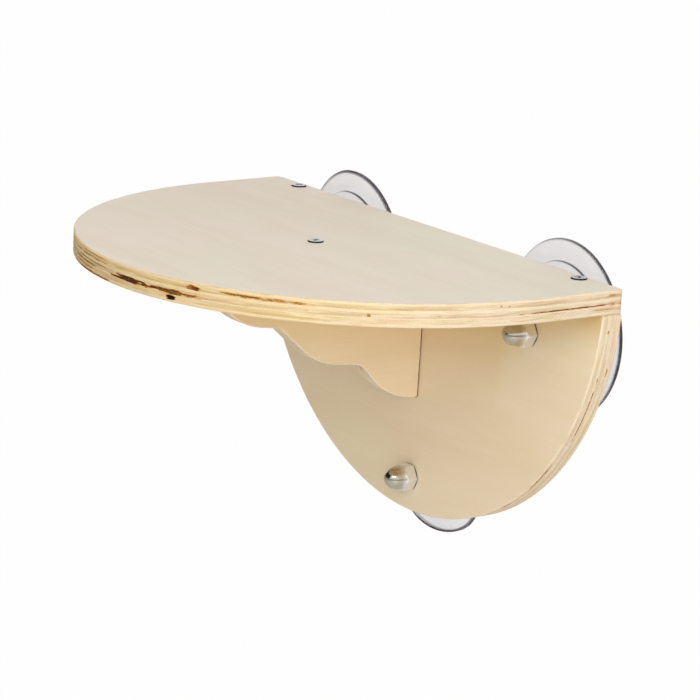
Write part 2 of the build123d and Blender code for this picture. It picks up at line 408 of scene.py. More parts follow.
def face_veneer(name, pale, deep, grain_axis, painted_shelf_shade="#ffffff"):
    """Rotary cut birch veneer, sanded and left bare: pale and matt, with broad faint figure, fine fibres
    and short pores along the grain, and no gloss to speak of. Fibres and pores are drawn about three
    times as coarse as birch has them, so that they show. Just under the shelf a warm brown painted
    shade multiplies it, and it fades out going down, sooner to the right."""
    material, add = new_material(name)
    place = add("TexCoord").outputs["Object"]

    def grain(along, across, detail, twist):
        """Noise whose grains are so many millimetres long and wide, laid along the veneer's grain."""
        scale = [1 / (across * mm)] * 3
        scale[grain_axis] = 1 / (along * mm)
        laid = add("Mapping", {"Vector": place, "Scale": scale})
        return add("TexNoise", {
            "Vector": laid, "Scale": 1.0, "Detail": detail, "Roughness": 0.6, "Distortion": twist
        })

    fibres = grain(26, 0.9, 3.0, 0.0)
    pores = grain(5, 0.45, 1.0, 0.0)
    layers = [(share, add("ValToRGB", {"Fac": noise}, stops=stops)) for share, noise, stops in (
        (1.0, fibres, ((0.3, "#fdfbf9"), (0.55, "#ffffff"))),
        (0.2, pores, ((0.22, "#e8dfd3"), (0.34, "#ffffff"))),
        (1.0, grain(110, 80, 2.0, 0.0), ((0.35, "#fffbf9"), (0.65, "#fdfff9"))),
    )]
    # How far down the painted shade under the shelf reaches, and from where to where on the right it comes
    # to fade faster
    fade_length, haste_start, haste_end, haste = 75 * mm, 66 * mm, 125 * mm, 3.5
    split = add("SeparateXYZ", {"Vector": place})
    below = add("Math", {0: split.outputs["Z"], 1: ply_thickness}, operation="ADD")
    faster = add("MapRange", {
        "Value": split.outputs["X"], "From Min": haste_start, "From Max": haste_end,
        "To Min": 1.0, "To Max": haste
    })
    drop = add("Math", {0: below, 1: faster}, operation="MULTIPLY")
    upper = add("MapRange", {"Value": drop, "From Min": -fade_length, "From Max": 0.0},
                interpolation_type="SMOOTHSTEP")
    colour = add("ValToRGB", {"Fac": grain(240, 30, 3.0, 0.6)}, stops=((0.32, deep), (0.6, pale)))
    # Last the painted shade under the shelf multiplies it; on the shelf's own faces it is plain white
    for share, over in layers + [(upper, linear(painted_shelf_shade))]:
        mixed = add("Mix", {0: share, 6: colour, 7: over}, data_type="RGBA", blend_type="MULTIPLY")
        colour = mixed.outputs[2]
    dull = add("MapRange", {
        "Value": fibres, "From Min": 0.3, "From Max": 0.7, "To Min": 0.6, "To Max": 0.5
    })
    relief = add("Mix", {0: 0.35, 2: fibres, 3: pores})
    bump = add("Bump", {"Height": relief, "Strength": 0.08, "Distance": 0.03 * mm})
    shader = add("BsdfPrincipled", {
        "Base Color": colour, "Roughness": dull, "Normal": bump, "Specular IOR Level": 0.45
    })
    add("OutputMaterial", {"Surface": shader})
    return material


def ply_edge(name, plies, yellow_run):
    """The sawn and sanded edge of birch plywood: pale long grain plies between darker end grain ones,
    a thin glue line between each two, and reddish brown where an inner ply has a knot or a patch of bark.
    The cut fibres are drawn coarser than they are, so that they show. Along the run between the two
    given places the sapwood fades from yellow to nearly white."""
    material, add = new_material(name)
    rim = add("UVMap", uv_map="rim")
    split = add("SeparateXYZ", {"Vector": rim})

    def streaks(along, across, detail):
        """Noise whose grains are so many millimetres long along the rim, and high across it."""
        laid = add("Mapping", {"Vector": rim, "Scale": (1 / (along * mm), 1 / (across * mm), 1)})
        return add("TexNoise", {"Vector": laid, "Scale": 1.0, "Detail": detail, "Roughness": 0.65})

    # The plies wander up and down by so much along the rim
    wander = 1.3 * mm
    height = add("Math", {0: streaks(34, 9, 3.0), 1: wander, 2: split.outputs["Y"]},
                 operation="MULTIPLY_ADD")
    level = add("MapRange", {
        "Value": height, "From Min": wander / 2, "From Max": ply_thickness + wander / 2
    })
    # How softly two plies meet and how wide a glue line is to each side, as shares of the thickness
    soft_share, glue_share = 0.02, 0.011
    stops, glue_stops, start = [], [(0.0, "#000000")], 0
    for end, upper, lower, _ in plies:
        stops += [(start + soft_share, upper), (end - soft_share, lower)]
        glue_stops += [(end - glue_share, "#000000"), (end, "#ffffff"), (end + glue_share, "#000000")]
        start = end
    lines = add("ValToRGB", {"Fac": level}, stops=glue_stops[:-3])
    # In places the plies are nearly even in colour, and a glue line breaks off
    even, broken = [
        add("MapRange", {"Value": noise, "From Min": 0.42, "From Max": full_at, "To Max": most})
        for noise, full_at, most in ((streaks(30, 2.5, 2.0), 0.62, 0.8), (streaks(9, 1.6, 3.0), 0.66, 0.75))
    ]
    glue = add("Math", {0: lines, 1: broken}, operation="MULTIPLY")
    sap = add("MapRange", {
        "Value": split.outputs["X"], "From Min": yellow_run[0], "From Max": yellow_run[1],
        "To Min": 1.0, "To Max": 0.0
    })
    # Knots, bark and streaks come in through this attribute, and so does painted shade: the bracket's seam
    # and a line on the shelf's left
    flaw_and_shade = add("Attribute", attribute_name="flaw_and_shade").outputs["Fac"]
    mottle = add("Math", {0: streaks(1.6, 0.45, 4.0), 1: 2.0, 2: -1.0}, operation="MULTIPLY_ADD")
    depth = add("Math", {0: flaw_and_shade, 1: mottle}, operation="ADD")
    stain = add("Math", {0: flaw_and_shade, 1: 2.5}, operation="MULTIPLY", use_clamp=True)
    brown = add("ValToRGB", {"Fac": depth},
                stops=((0.15, "#cfa768"), (0.45, "#a4732f"), (0.75, "#73400f"), (1.0, "#220f04")))
    # What goes over the plies' colours: each layer's share, its colour and how it is blended
    layers = [(even, linear(plies[2][1]), "MIX"), (glue, linear("#a07f58"), "MIX")]
    for share, noise, shades in (
        (0.7, streaks(11, 0.3, 4.0), ((0.3, "#d9c4a6"), (0.5, "#ffffff"))),
        (0.5, streaks(0.8, 0.5, 3.0), ((0.3, "#e2d0b6"), (0.5, "#ffffff"))),
        (1.0, streaks(45, 2.2, 2.0), ((0.36, "#fff6f3"), (0.5, "#ffffff"), (0.64, "#fcf9ea"))),
    ):
        layers.append((share, add("ValToRGB", {"Fac": noise}, stops=shades), "MULTIPLY"))
    layers += [(sap, linear("#faf5dd"), "MULTIPLY"), (stain, brown, "MIX")]
    colour = add("ValToRGB", {"Fac": level}, stops=stops)
    for share, over, blend in layers:
        mixed = add("Mix", {0: share, 6: colour, 7: over}, data_type="RGBA", blend_type=blend)
        colour = mixed.outputs[2]
    bump = add("Bump", {"Height": streaks(8, 0.25, 3.0), "Strength": 0.35, "Distance": 0.06 * mm})
    shader = add("BsdfPrincipled", {
        "Base Color": colour, "Roughness": 0.72, "Normal": bump, "Specular IOR Level": 0.25
    })
    add("OutputMaterial", {"Surface": shader})
    return material


def box_middle(node, axes):
    """The middle of a node's box along the given axes."""
    low, high = (np.array(corner)[list(axes)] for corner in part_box(node))
    return (low + high) / 2


head_hole = screw_head_radius + screw_clearance
shank_hole = screw_shank_radius + screw_clearance
countersink = np.array((
    (head_hole, 0), (head_hole, screw_head_rim), (shank_hole, screw_head_rim + head_hole - shank_hole),
    (shank_hole, ply_thickness),
))
shelf_outline = rounded_path(
    ((0, rear_y), (half_width, rear_y), (half_width, shelf_low.y), (-half_width, shelf_low.y),
     (-half_width, rear_y), (0, rear_y)),
    (shelf_corner_radius, half_width, half_width, shelf_corner_radius), along_step,
)[:-1]
shelf = board_mesh(
    "plywood_shelf", shelf_outline, (0, round_centre_y), shelf_plies, shelf_flaws,
    [(box_middle("shelf_screw_" + part, (0, 1)), countersink) for part in ("left", "right", "middle")],
    lambda x, y, depth: np.stack((x, y, -depth), -1),
    (face_veneer("sanded_birch_veneer_shelf", "#e2ddd5", "#ded7cd", 0),
     ply_edge("sawn_plywood_edge_shelf", shelf_plies, shelf_yellow_run),
     face_veneer("sanded_birch_veneer_underside", "#ecd4a8", "#e6ca98", 0)), seed=11,
)
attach(shelf, "perch_frame")
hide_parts("shelf_board")

# The back board is a half disc of the same plywood, upright under the shelf's rear edge. The studs
# of the cups pass through three bored holes, and two screws go through it into the bracket.
board_low, board_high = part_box("back_board")
board_centre_z = board_low.z + half_width
corner_rounding = 1.2 * mm
arc_points = 720
stud_radius = 4 * mm
stud_hole_clearance = 0.1 * mm
cup_sides = ("left", "right", "lower")
board_plies = (
    (0.12, "#ebdfc9", "#ece1cc", 0),
    (0.27, "#e1d3b8", "#d9caae", 0.05),
    (0.43, "#ebe0cb", "#e9ddc7", 0),
    (0.58, "#ded1b8", "#d5c6aa", 0.06),
    (0.68, "#eadec6", "#eadec6", 0),
    (0.86, "#e0d2b8", "#d9c9ae", 0.05),
    (1, "#eadeca", "#e3d4ba", 0),
)
board_yellow_run = (0, 100 * mm)
# The flaws in its edge, given as the shelf's are, with depths from the front face
board_flaws = (
    (-45, 2, 26, 0.9, 0.5, 0.8),
    (-26, 4.7, 42, 0.8, 0.5, 0.7),
    (-57.5, 2, 9, 1.2, 0.1, 0.4),
    (-8.7, 5, 1.8, 1.6, 0.2, 0.5),
    (-17, 9, 5, 1.2, 0.1, 0.4),
    (-72, 6, 18, 1.1, 0.15, 0.45),
    (-120, 5.8, 30, 1.2, 0.2, 0.6),
    (-146, 2.4, 12, 1.3, 0.3, 0.8),
    (-165, 9, 8, 1.2, 0.2, 0.5),
)

chord_angle = math.asin((board_high.z - board_centre_z) / half_width)
arc_end = chord_angle - corner_rounding / half_width
arc = np.linspace(arc_end, -math.pi - arc_end, arc_points)
board_arc = np.stack((np.cos(arc), np.sin(arc)), -1) * half_width + (0, board_centre_z)
chord_end = half_width * math.cos(chord_angle) - corner_rounding
chord = np.array(((-chord_end, board_high.z), (0, board_high.z), (chord_end, board_high.z)))
board_outline = fill_gaps(np.concatenate((chord[1:], board_arc, chord[:2])), along_step)[:-1]
stud_hole_radius = stud_radius + stud_hole_clearance
stud_hole = np.array(((stud_hole_radius, 0), (stud_hole_radius, ply_thickness)))
rear_countersink = countersink[::-1] * (1, -1) + (0, ply_thickness)
board_holes = [(box_middle("cup_stud_" + side, (0, 2)), stud_hole) for side in cup_sides]
for part in ("upper", "lower"):
    board_holes.append((box_middle("bracket_screw_" + part, (0, 2)), rear_countersink))
# A warm brown painted shade darkens the back board just under the shelf
veneer = face_veneer("sanded_birch_veneer_back_board", "#ebe0c9", "#e8dac0", 0, "#f2e2bd")
back_board = board_mesh(
    "plywood_back_board", board_outline, (0, board_centre_z), board_plies, board_flaws, board_holes,
    lambda x, z, depth: np.stack((x, board_low.y + depth, z), -1),
    (veneer, ply_edge("sawn_plywood_edge_back_board", board_plies, board_yellow_run), veneer), seed=23,
)
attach(back_board, "perch_frame")
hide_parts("back_board")

# The bracket is an upright gusset of the same plywood at mid width, glued and screwed to the shelf
# and the back board. Its lower edge is fretted into three lobes, each steep and then nearly level.
bracket_low, bracket_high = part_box("bracket")
bracket_nose = 7 * mm
bracket_nose_radius = 3 * mm
lobe_lengths = (42.3 * mm, 50.4 * mm, 36 * mm)
lobe_drops = (22.5 * mm, 24 * mm, 21 * mm)
lobe_knee_shares = (0.46, 0.86)
lobe_radius = 36 * mm
lobe_dip_radius = 7 * mm
# How far the bracket leans to the left for each unit that it reaches down
bracket_lean = 0.03
# Its flaws, with directions from its upper corner at the back board and depths from its right face.
# The first is a painted shadow along the seam with the back board.
bracket_flaws = (
    (-90, 0.1, 5, 1.1, 0, 0.85),
    (-122, 8.4, 7, 0.9, 0.9, 1.8),
    (-121.5, 4.6, 6, 1.2, 0.2, 0.6),
    (-126, 2.2, 5, 0.8, 0.1, 0.5),
    (-150, 5.8, 12, 1, 0.15, 0.5),
    (-167, 2.5, 6, 1, 0.1, 0.5),
)

knee_across, knee_down = lobe_knee_shares
middle_of_top = ((bracket_low.y + bracket_high.y) / 2, bracket_high.z)
y, z = bracket_low.y, bracket_high.z - bracket_nose
bracket_corners = [middle_of_top, (y, bracket_high.z), (y, z)]
bracket_radii = [corner_rounding, bracket_nose_radius]
for length, drop in zip(lobe_lengths, lobe_drops):
    bracket_corners += [(y + length * knee_across, z - drop * knee_down), (y + length, z - drop)]
    bracket_radii += [lobe_radius, lobe_dip_radius]
    y, z = y + length, z - drop
bracket_corners += [(bracket_high.y, bracket_high.z), middle_of_top]
bracket_radii[-1:] = [corner_rounding, corner_rounding]
bracket_outline = rounded_path(bracket_corners, bracket_radii, along_step)[:-1]
# A fainter warm painted shade darkens the bracket just under the shelf
veneer = face_veneer("sanded_birch_veneer_bracket", "#eadcc1", "#e6d5b7", 1, "#f9f0d8")
bracket = board_mesh(
    "plywood_bracket", bracket_outline, (bracket_high.y, bracket_high.z), board_plies, bracket_flaws, [],
    lambda y, z, depth: np.stack((bracket_high.x - depth + bracket_lean * (z - bracket_high.z), y, z), -1),
    (veneer, ply_edge("sawn_plywood_edge_bracket", board_plies, board_yellow_run), veneer), seed=37,
)
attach(bracket, "perch_frame")
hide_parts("bracket")

# Five countersunk wood screws, 4 by 40, rolled from steel wire and bright zinc plated. The three in
# the shelf stand a hair proud of the sanded face, and the two in the back board point forwards.
screw_length = 40 * mm
screw_tip_length = 6 * mm
screw_proud = 0.85 * mm
screw_crown = 0.15 * mm
screw_core_share = 0.66
screw_pitch = 1.8 * mm
screw_smooth_length = 12 * mm
thread_steepness = 1.3
screw_sides = 96
screw_step = 0.16 * mm
# The head's shoulder and edge as shares of its radius, how far the edge falls, and the radius at
# which each turn of the profile is rounded
shoulder_share = 0.6
head_edge_share = 0.97
head_edge_drop = 0.05 * mm
screw_roundings = (8 * mm, 0.25 * mm, 0.1 * mm, 0.5 * mm, 1 * mm)
# The crossed recess, and where its walls, its sloping floor and its middle start and end, as shares
# of its width, its span and its width
recess_span = 5.0 * mm
recess_width = 1.4 * mm
recess_depth = 1.5 * mm
recess_walls = (0.3, 0.58)
recess_floor = (0.12, 0.52)
recess_middle = (0.1, 1.2)
# Where the painted shade on the head's side starts and is full, in shares of the radius and in depth
side_shade_radii = (0.92, 0.96)
side_shade_drops = (0.06 * mm, 0.14 * mm)
# How the painted shade spreads in the recess: its depth share is raised to this power
recess_shade_power = 0.4
# How far each screw was turned when it was driven home, in degrees
screw_turns = {
    "shelf_screw_left": 20, "shelf_screw_right": 64, "shelf_screw_middle": 38,
    "bracket_screw_upper": 12, "bracket_screw_lower": 75,
}


def skin(name, grid, material, **shades):
    """A closed smooth mesh from a grid of (round an axis, along a profile) whose ends close to a point.

    Each shade is a grid of values, which goes on the points as an attribute of that name.
    """
    def on_points(values):
        """A grid's values in the order of the points: the rows between the ends, then both ends."""
        rows = values[:, 1:-1].reshape(-1, *values.shape[2:])
        return np.concatenate((rows, values[:1, 0], values[:1, -1]))

    sides, columns = grid.shape[0], grid.shape[1] - 2
    near = np.arange(sides) * columns
    ahead = np.roll(near, -1)
    first, last = np.full(sides, sides * columns), np.full(sides, sides * columns + 1)
    fans = np.concatenate((
        np.stack((first, ahead, near), -1), np.stack((near + columns - 1, ahead + columns - 1, last), -1)
    ))
    groups = ((ring_quads(0, sides, columns), 0, True), (fans, 0, True))
    made = put_mesh(name, on_points(grid), groups, (material,))
    for shade, values in shades.items():
        values = on_points(values).astype(np.float32)
        made.data.attributes.new(shade, "FLOAT", "POINT").data.foreach_set("value", values)
    return made


def thread_ridge(turns, heights, pitch):
    """A right hand thread's height, from 0 in the root to 1 on the crest, round an axis and along it.

    It is a triangle wave of (height / pitch - turn / 2 pi), steepened about its middle until its
    peaks and valleys are cut flat.
    """
    phase = heights / pitch - turns / (2 * math.pi)
    return np.clip(thread_steepness * (np.abs(2 * (phase % 1) - 1) - 0.5) + 0.5, 0, 1)


def wood_screw_grid():
    """A wood screw pointing down from its head at z = 0, as a grid of (round, along the profile).

    The profile runs over the crowned head, round its rim, down the countersunk cone and the shank to
    the tip. The recess is two crossed slots whose floor slopes up to their ends, and the thread
    is cut into the lower shank as a helix.
    """
    turns = np.linspace(0, 2 * math.pi, screw_sides, endpoint=False)[:, None]
    cone_end = -screw_head_rim - (screw_head_radius - screw_shank_radius)
    profile = rounded_path(
        ((0, screw_proud + screw_crown),
         (screw_head_radius * shoulder_share, screw_proud + screw_crown * shoulder_share),
         (screw_head_radius * head_edge_share, screw_proud - head_edge_drop),
         (screw_head_radius, -screw_head_rim), (screw_shank_radius, cone_end),
         (screw_shank_radius, screw_tip_length - screw_length), (0, -screw_length)),
        screw_roundings, screw_step,
    )
    radius, height = profile[:, 0] + 0 * turns, profile[:, 1] + 0 * turns
    in_head = np.arange(len(profile)) < np.argmax(profile[:, 0])
    x, y = np.abs(radius * np.cos(turns)), np.abs(radius * np.sin(turns))
    slot = 1 - smooth_step(np.minimum(x, y) / recess_width, *recess_walls)
    slot *= 1 - smooth_step(np.maximum(x, y) / recess_span, *recess_floor)
    sunk = in_head * np.clip(np.maximum(slot, 1 - smooth_step(radius / recess_width, *recess_middle)), 0, 1)
    height -= recess_depth * sunk
    threaded = smooth_step(-height, screw_smooth_length, screw_smooth_length + screw_pitch)
    ridge = thread_ridge(turns, height, screw_pitch)
    radius = radius * np.where(in_head, 1, 1 - threaded * (1 - screw_core_share) * (1 - ridge**2))
    on_side = smooth_step(radius / screw_head_radius, *side_shade_radii)
    on_side *= smooth_step(screw_proud - height, *side_shade_drops)
    # Painted shade in the recess, on the head's side and in the thread's roots
    grime = np.maximum(sunk**recess_shade_power, np.maximum(on_side, threaded * (1 - ridge)))
    return np.stack((radius * np.cos(turns), radius * np.sin(turns), height), -1), grime


def plated_steel(name, bright, dull_shade, rough_low, rough_high):
    """Plated steel: an even metal skin, a little duller and greyer in places where it was handled,
    with fine marks in the plating, drawn coarser than they are. It mirrors what is round it, softened
    by its roughness. Forged flats are satin. In slots, on a screw head's side, in thread roots and at
    seats a painted shade turns it a dull dark brown."""
    material, add = new_material(name)
    place = add("TexCoord").outputs["Object"]
    handled, marks = [
        add("TexNoise", {"Vector": place, "Scale": 1 / size, "Detail": 3.0, "Roughness": rough})
        for size, rough in ((4 * mm, 0.6), (0.5 * mm, 0.7))
    ]
    tint = add("ValToRGB", {"Fac": handled}, stops=((0.3, dull_shade), (0.6, bright)))
    rough = add("MapRange", {
        "Value": handled, "From Min": 0.3, "From Max": 0.7, "To Min": rough_high, "To Max": rough_low
    })
    # Last the painted shade, a dull dark brown in recesses, crevices and seats
    for finish, shade, roughness in (("forged", "#f3f5f8", 0.32), ("grime", "#2b2620", 0.6)):
        share = add("Attribute", attribute_name=finish).outputs["Fac"]
        tint = add("Mix", {0: share, 6: tint, 7: linear(shade)}, data_type="RGBA").outputs[2]
        rough = add("Mix", {0: share, 2: rough, 3: roughness})
    bump = add("Bump", {"Height": marks, "Strength": 0.12, "Distance": 0.02 * mm})
    shader = add("BsdfPrincipled", {
        "Base Color": tint, "Metallic": 1.0, "Roughness": rough, "Normal": bump
    })
    add("OutputMaterial", {"Surface": shader})
    return material


zinc = plated_steel("bright_zinc_plated_steel", "#cdcfcf", "#b4b8b8", 0.22, 0.36)
screw, screw_grime = wood_screw_grid()
for name, degrees in screw_turns.items():
    low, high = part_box(name)
    turn = math.radians(degrees)
    spin = np.array(((math.cos(turn), -math.sin(turn), 0), (math.sin(turn), math.cos(turn), 0), (0, 0, 1)))
    driven = screw @ spin.T
    if name.startswith("bracket"):
        x, z = box_middle(name, (0, 2))
        driven = driven[..., (0, 2, 1)] * (1, 1, -1) + (x, high.y, z)
    else:
        driven = driven + (*box_middle(name, (0, 1)), high.z)
    made = skin("wood_" + name, driven, zinc, grime=screw_grime)
    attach(made, "perch_frame")
    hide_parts(name)

# Three suction cups, moulded in clear soft vinyl round the heads of their studs. Each is a solid hub
# and a thick skirt, a step, and a thinner flange that ends in a flat lip on the pane.
hub_radius = 14 * mm
dish_depth = 5 * mm
lip_thickness = 1.8 * mm
lip_width = 1.4 * mm
flange_thickness = 1.6 * mm
step_height = 1.2 * mm
step_share = 0.75
stud_head_radius = 10 * mm
stud_head_thickness = 2 * mm
moulding_clearance = 0.1 * mm
cup_corner = 0.4 * mm
cup_facets = 144
cup_step = 0.5 * mm
dish_power = 1.66
dish_points = 80
skirt_swell = 0.4 * mm
skirt_bend_radius = 60 * mm
# The painted shade along each rim, seen through its front: how wide it is, and the direction, from
# straight up towards the right, where it is darkest. It falls off with the direction's cosine.
painted_rim_shade_sizes = {"left": (1.9 * mm, 45), "right": (1.1 * mm, 55), "lower": (1.8 * mm, 130)}
rim_dark_mean = 0.25
rim_dark_swing = 1.2
# Out of its box a soft flange keeps a set: how far each is curled off the pane, how far it is drawn
# in, and the direction where it is most so. The set grows with the square of the way out from the hub.
rim_sets = {"left": (0.0, 5.5 * mm, -98), "right": (0.0, 0.0, 0), "lower": (7.5 * mm, 4.2 * mm, -140)}
set_power = 1.5


def around_y(centre, radius, turns, y):
    """Points at a radius and a right hand turn about an axis along Y, measured from +Z towards +X."""
    x = centre[0] + radius * np.sin(turns)
    return np.stack((x, np.broadcast_to(y, x.shape), centre[1] + radius * np.cos(turns)), -1)


def cup_profile(rim_radius, head_front, head_back):
    """The cup's section as radius and y, from the middle of the stud's pocket out and round to the dish.

    The dish is y = -depth (1 - (r / r0)^2)^p, flat on the pane at the lip's inner edge r0.
    """
    step_radius = rim_radius * step_share
    # The flange's back, halfway between the pane and a plain parabola at the step
    flange_back = -dish_depth * (1 - step_share**2) / 2
    flange_front = flange_back - flange_thickness
    skirt_end = flange_front - step_height
    pocket = stud_head_radius + moulding_clearance
    bore = stud_radius + moulding_clearance
    # The skirt swells a little here, midway from the hub to the step
    skirt_middle = ((hub_radius + step_radius) / 2, (rear_y + skirt_end) / 2 - skirt_swell)
    outside = rounded_path(
        ((0, head_back), (pocket, head_back), (pocket, head_front), (bore, head_front), (bore, rear_y),
         (hub_radius, rear_y), skirt_middle, (step_radius, skirt_end), (step_radius, flange_front),
         (rim_radius, -lip_thickness), (rim_radius, 0), (rim_radius - lip_width, 0)),
        [cup_corner] * 5 + [skirt_bend_radius] + [cup_corner] * 4, cup_step,
    )
    inner = np.linspace(rim_radius - lip_width, 0, dish_points)[1:]
    dish = -dish_depth * (1 - (inner / (rim_radius - lip_width)) ** 2) ** dish_power
    return np.concatenate((outside, np.stack((inner, dish), -1)))


def clear_vinyl():
    """Clear plasticised vinyl, injection moulded: see-through with a faint grey haze, softly glossy and a
    little wavy. Its outer edge and its step are painted a dark violet grey, a painted shade for where one
    looks along the sheet."""
    material, add = new_material("moulded_clear_vinyl")
    place = add("TexCoord").outputs["Object"]
    waves, handled = [
        add("TexNoise", {"Vector": place, "Scale": 1 / size, "Detail": detail})
        for size, detail in ((18 * mm, 1.0), (7 * mm, 4.0))
    ]
    edge = add("Attribute", attribute_name="edge").outputs["Fac"]
    tint = add("ValToRGB", {"Fac": edge}, stops=((0.0, "#eeedee"), (0.5, "#aaa6ad"), (1.0, "#5f5964")))
    rough = add("MapRange", {
        "Value": handled, "From Min": 0.3, "From Max": 0.7, "To Min": 0.05, "To Max": 0.12
    })
    bump = add("Bump", {"Height": waves, "Strength": 0.2, "Distance": 0.4 * mm})
    shader = add("BsdfPrincipled", {
        "Base Color": tint, "Roughness": rough, "Normal": bump, "Transmission Weight": 0.9, "IOR": 1.5
    })
    add("OutputMaterial", {"Surface": shader})
    return material


vinyl = clear_vinyl()
turns = np.linspace(0, 2 * math.pi, cup_facets, endpoint=False)[:, None]
for side in cup_sides:
    low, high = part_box("suction_cup_" + side)
    stud_rear_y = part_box("cup_stud_" + side)[1].y
    head_back = stud_rear_y + moulding_clearance
    head_front = stud_rear_y - stud_head_thickness - moulding_clearance
    rim_radius = (high.x - low.x) / 2
    centre = box_middle("suction_cup_" + side, (0, 2))
    profile = cup_profile(rim_radius, head_front, head_back)
    curl, squeeze, way = rim_sets[side]
    outward = np.clip((profile[:, 0] - hub_radius) / (rim_radius - hub_radius), 0, 1)
    settled = outward**2 * np.clip(np.cos(turns - math.radians(way)), 0, 1) ** set_power
    shape = around_y(centre, profile[:, 0] - squeeze * settled, turns, profile[:, 1] - curl * settled)
    slope = np.gradient(profile, axis=0)
    upright = np.abs(slope[:, 1]) / np.linalg.norm(slope, axis=1)
    on_lip = smooth_step(profile[:, 0], rim_radius - cup_corner, rim_radius - cup_corner / 2)
    on_step = 1 - smooth_step(np.abs(profile[:, 0] - rim_radius * step_share), cup_corner / 4, cup_corner)
    width, way = painted_rim_shade_sizes[side]
    painted_rim_darkness = np.clip(rim_dark_mean + rim_dark_swing * np.cos(turns - math.radians(way)), 0, 1)
    on_rim = smooth_step(profile[:, 0], rim_radius - width, rim_radius - width / 2)
    # Painted shade: the lip and the rim, darkest towards one side, and the step's upright face
    edge = np.maximum(np.maximum(on_lip, on_rim) * painted_rim_darkness, upright * on_step)
    made = skin("vinyl_suction_cup_" + side, shape, vinyl, edge=edge)
    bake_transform(made)
    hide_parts("suction_cup_" + side)

# Three M8 studs of zinc plated steel. The flat head is serrated so that the vinyl moulded round it
# can't slip, and the rolled thread runs through the back board into the nut.
thread_pitch = 1.25 * mm
thread_depth = 0.7 * mm
stud_chamfer = 0.8 * mm
stud_roundings = (0.3 * mm, 0.3 * mm, 0.3 * mm, 0.1 * mm, 0.1 * mm)
serrations = 24
serration_depth = 0.4 * mm
serration_start = 0.85
stud_facets = 96
stud_step = 0.16 * mm
# The thread starts this far under the head, and fades out over these shares of the radius, where the
# end's chamfer runs in
head_underside = 0.5 * mm
threaded_radii = (0.6, 0.75)
# How dark the painted shade in the thread's roots is
stud_root_shade = 0.8

turns = np.linspace(0, 2 * math.pi, stud_facets, endpoint=False)[:, None]
for side in cup_sides:
    low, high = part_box("cup_stud_" + side)
    head_front = high.y - stud_head_thickness
    profile = rounded_path(
        ((0, high.y), (stud_head_radius, high.y), (stud_head_radius, head_front), (stud_radius, head_front),
         (stud_radius, low.y + stud_chamfer), (stud_radius - stud_chamfer, low.y), (0, low.y)),
        stud_roundings, stud_step,
    )
    radius, y = profile[:, 0] + 0 * turns, profile[:, 1] + 0 * turns
    in_head = y > head_front - head_underside
    on_head = in_head * smooth_step(radius / stud_head_radius, serration_start, 1)
    on_shank = smooth_step(radius / stud_radius, *threaded_radii) * ~in_head
    teeth = serration_depth * (0.5 - 0.5 * np.cos(serrations * turns))
    root = 1 - thread_ridge(turns, y, thread_pitch)
    radius = radius - on_head * teeth - on_shank * thread_depth * root
    centre = box_middle("cup_stud_" + side, (0, 2))
    made = skin("threaded_stud_" + side, around_y(centre, radius, turns, y), zinc,
                grime=on_shank * root * stud_root_shade)
    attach(made, "stud_" + side)
    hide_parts("cup_stud_" + side)

# Three M8 cap nuts, forged and bright nickel plated: a chamfered hexagon that runs into a polished
# dome, tapped blind. Each bears on the front of the back board and draws its cup in.
nut_half_flats = 6.5 * mm
nut_hex_height = 6.5 * mm
nut_crown_radius = 5.6 * mm
nut_dome_lean = 14
nut_dome_foot_radius = 6.25 * mm
nut_dome_points = 60
nut_bore_depth = 11 * mm
nut_bore_clearance = 0.05 * mm
nut_bore_chamfer = 0.6 * mm
nut_thread_start = 0.5 * mm
nut_thread_edge = 0.9
nut_corner_blunting = 0.12 * mm
nut_seat_angle = 30
nut_top_angle = 42
nut_roundings = [0.1 * mm] * 3 + [0.15 * mm] + [0.1 * mm] * 3
nut_step = 0.2 * mm
# Where the painted shadow at the seat thins and where it ends, in heights of the seat's chamfer, and how
# dark the painted shade is there and in the thread
seat_shade_span = (0.7, 1.7)
nut_painted_shade = 0.9
# Directions across one side of the hexagon, in degrees from its corner, closest where it turns
hexagon_directions = (-24, -18, -12, -7, -4, -2.6, -1.7, -0.8, 0, 0.8, 1.7, 2.6, 4, 7, 12, 18, 24, 30)

nickel = plated_steel("polished_nickel_plated_steel", "#c4c0b4", "#b5b0a2", 0.05, 0.11)
sixths = np.arange(6)[:, None] * 60 + 30 + np.array(hexagon_directions)
turns = np.radians(sixths.ravel())[:, None]
